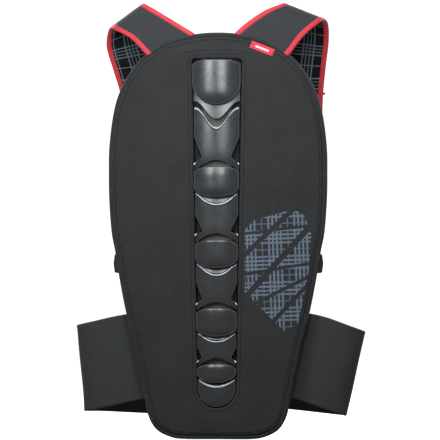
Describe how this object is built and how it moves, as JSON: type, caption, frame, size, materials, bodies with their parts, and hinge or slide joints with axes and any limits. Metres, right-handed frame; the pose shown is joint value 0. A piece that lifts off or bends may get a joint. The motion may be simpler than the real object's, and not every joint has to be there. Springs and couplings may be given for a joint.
{
  "type": "back protector",
  "caption": "Soft back protector with a window of overlapping spine plates, padded shoulder straps and an elastic waist belt.",
  "frame": {"origin": "on the lining face that lies on the wearer's back, in the middle of the panel's width and height", "axes": "+Z towards the neck, +Y towards the wearer, +X to the right seen from behind the wearer"},
  "size_m": [0.3743, 0.1167, 0.5599],
  "materials": {
    "plate_plastic": "satin moulded plastic",
    "carrier_plastic": "matte flexible plastic",
    "foam_core": "closed-cell impact foam",
    "cover_softshell": "fine knitted softshell",
    "lining_mesh": "open air mesh",
    "strap_fabric": "ribbed fabric over foam with a coloured edge binding",
    "webbing": "woven webbing",
    "hardware_plastic": "moulded nylon",
    "belt_elastic": "ribbed elastic",
    "touch_tape": "hook and loop tape",
    "tag_fabric": "woven tag"
  },
  "bodies": {
    "upper_back": {"spine_dome_1": "plate_plastic", "spine_flange_1": "plate_plastic", "carrier_1": "carrier_plastic", "foam_1": "foam_core", "cover_1": "cover_softshell", "lining_1": "lining_mesh", "strap_back_right": "strap_fabric", "strap_back_left": "strap_fabric", "name_tag": "tag_fabric"},
    "back_2": {"spine_link_2": "plate_plastic", "spine_dome_2": "plate_plastic", "carrier_2": "carrier_plastic", "foam_2": "foam_core", "cover_2": "cover_softshell", "lining_2": "lining_mesh"},
    "back_3": {"spine_link_3": "plate_plastic", "spine_dome_3": "plate_plastic", "carrier_3": "carrier_plastic", "foam_3": "foam_core", "cover_3": "cover_softshell", "lining_3": "lining_mesh", "anchor_tab_right": "webbing", "anchor_tab_left": "webbing"},
    "back_4": {"spine_link_4": "plate_plastic", "spine_dome_4": "plate_plastic", "carrier_4": "carrier_plastic", "foam_4": "foam_core", "cover_4": "cover_softshell", "lining_4": "lining_mesh"},
    "back_5": {"spine_link_5": "plate_plastic", "spine_dome_5": "plate_plastic", "carrier_5": "carrier_plastic", "foam_5": "foam_core", "cover_5": "cover_softshell", "lining_5": "lining_mesh", "belt_back": "belt_elastic", "belt_mount_pad": "lining_mesh"},
    "back_6": {"spine_tail": "plate_plastic", "carrier_6": "carrier_plastic", "foam_6": "foam_core", "cover_6": "cover_softshell", "lining_6": "lining_mesh"},
    "right_strap": {"strap_front_right": "strap_fabric", "strap_loop_right": "webbing", "strap_ring_right": "hardware_plastic"},
    "left_strap": {"strap_front_left": "strap_fabric", "strap_loop_left": "webbing", "strap_ring_left": "hardware_plastic"},
    "right_webbing": {"webbing_right": "webbing"},
    "left_webbing": {"webbing_left": "webbing"},
    "right_slider": {"slider_right": "hardware_plastic"},
    "left_slider": {"slider_left": "hardware_plastic"},
    "right_belt_side": {"belt_side_right": "belt_elastic"},
    "left_belt_side": {"belt_side_left": "belt_elastic"},
    "right_belt_front": {"belt_front_right": "belt_elastic", "hook_tab": "touch_tape"},
    "left_belt_front": {"belt_front_left": "belt_elastic", "loop_patch": "touch_tape"}
  },
  "joints": [
    {"name": "flex_1", "type": "hinge", "parent": "upper_back", "child": "back_2", "pos_m": [0, 0.015, 0.1443], "axis": [1, 0, 0], "range_deg": [0, 7], "stiffness_Nm_per_rad": 6, "springref_deg": -1.15},
    {"name": "flex_2", "type": "hinge", "parent": "back_2", "child": "back_3", "pos_m": [0, 0.015, 0.0458], "axis": [1, 0, 0], "range_deg": [0, 7], "stiffness_Nm_per_rad": 6, "springref_deg": -1.15},
    {"name": "flex_3", "type": "hinge", "parent": "back_3", "child": "back_4", "pos_m": [0, 0.015, -0.0494], "axis": [1, 0, 0], "range_deg": [0, 7], "stiffness_Nm_per_rad": 6, "springref_deg": -1.15},
    {"name": "flex_4", "type": "hinge", "parent": "back_4", "child": "back_5", "pos_m": [0, 0.015, -0.1309], "axis": [1, 0, 0], "range_deg": [0, 7], "stiffness_Nm_per_rad": 6, "springref_deg": -1.15},
    {"name": "flex_5", "type": "hinge", "parent": "back_5", "child": "back_6", "pos_m": [0, 0.015, -0.1885], "axis": [1, 0, 0], "range_deg": [0, 7], "stiffness_Nm_per_rad": 4, "springref_deg": -1.15},
    {"name": "shoulder_right", "type": "hinge", "parent": "upper_back", "child": "right_strap", "pos_m": [0.11, 0.02, 0.284], "axis": [1, 0, 0], "range_deg": [0, 6.2]},
    {"name": "shoulder_left", "type": "hinge", "parent": "upper_back", "child": "left_strap", "pos_m": [-0.117, 0.02, 0.284], "axis": [1, 0, 0], "range_deg": [0, 6.2]},
    {"name": "webbing_swing_right", "type": "hinge", "parent": "back_3", "child": "right_webbing", "pos_m": [0.116, 0.0158, -0.0355], "axis": [1, 0, 0], "range_deg": [-9.4, 0]},
    {"name": "webbing_swing_left", "type": "hinge", "parent": "back_3", "child": "left_webbing", "pos_m": [-0.116, 0.0158, -0.0355], "axis": [1, 0, 0], "range_deg": [-9.4, 0]},
    {"name": "slide_right", "type": "slide", "parent": "right_webbing", "child": "right_slider", "axis": [0, 0.5231, 0.8523], "range_m": [-0.004, 0.012]},
    {"name": "slide_left", "type": "slide", "parent": "left_webbing", "child": "left_slider", "axis": [0, 0.5231, 0.8523], "range_m": [-0.004, 0.012]},
    {"name": "belt_swing_right", "type": "hinge", "parent": "back_5", "child": "right_belt_side", "pos_m": [0.12, 0.023, -0.1575], "axis": [0, 0, -1], "range_deg": [0, 30]},
    {"name": "belt_swing_left", "type": "hinge", "parent": "back_5", "child": "left_belt_side", "pos_m": [-0.12, 0.023, -0.1575], "axis": [0, 0, 1], "range_deg": [0, 30]},
    {"name": "belt_open_right", "type": "hinge", "parent": "right_belt_side", "child": "right_belt_front", "pos_m": [0.17496, 0.05792, -0.17813], "axis": [-0.2198, 0, -0.9755], "range_deg": [0, 120]},
    {"name": "belt_open_left", "type": "hinge", "parent": "left_belt_side", "child": "left_belt_front", "pos_m": [-0.18249, 0.05789, -0.17163], "axis": [-0.0872, 0, 0.9962], "range_deg": [0, 120]}
  ],
  "couplings": [
    {"joint": "flex_2", "follows": "flex_1", "ratio": 1},
    {"joint": "shoulder_right", "follows": "flex_1", "ratio": 0.8434},
    {"joint": "shoulder_left", "follows": "flex_1", "ratio": 0.8434},
    {"joint": "webbing_swing_right", "follows": "flex_1", "ratio": -1.285},
    {"joint": "webbing_swing_left", "follows": "flex_1", "ratio": -1.285}
  ]
}
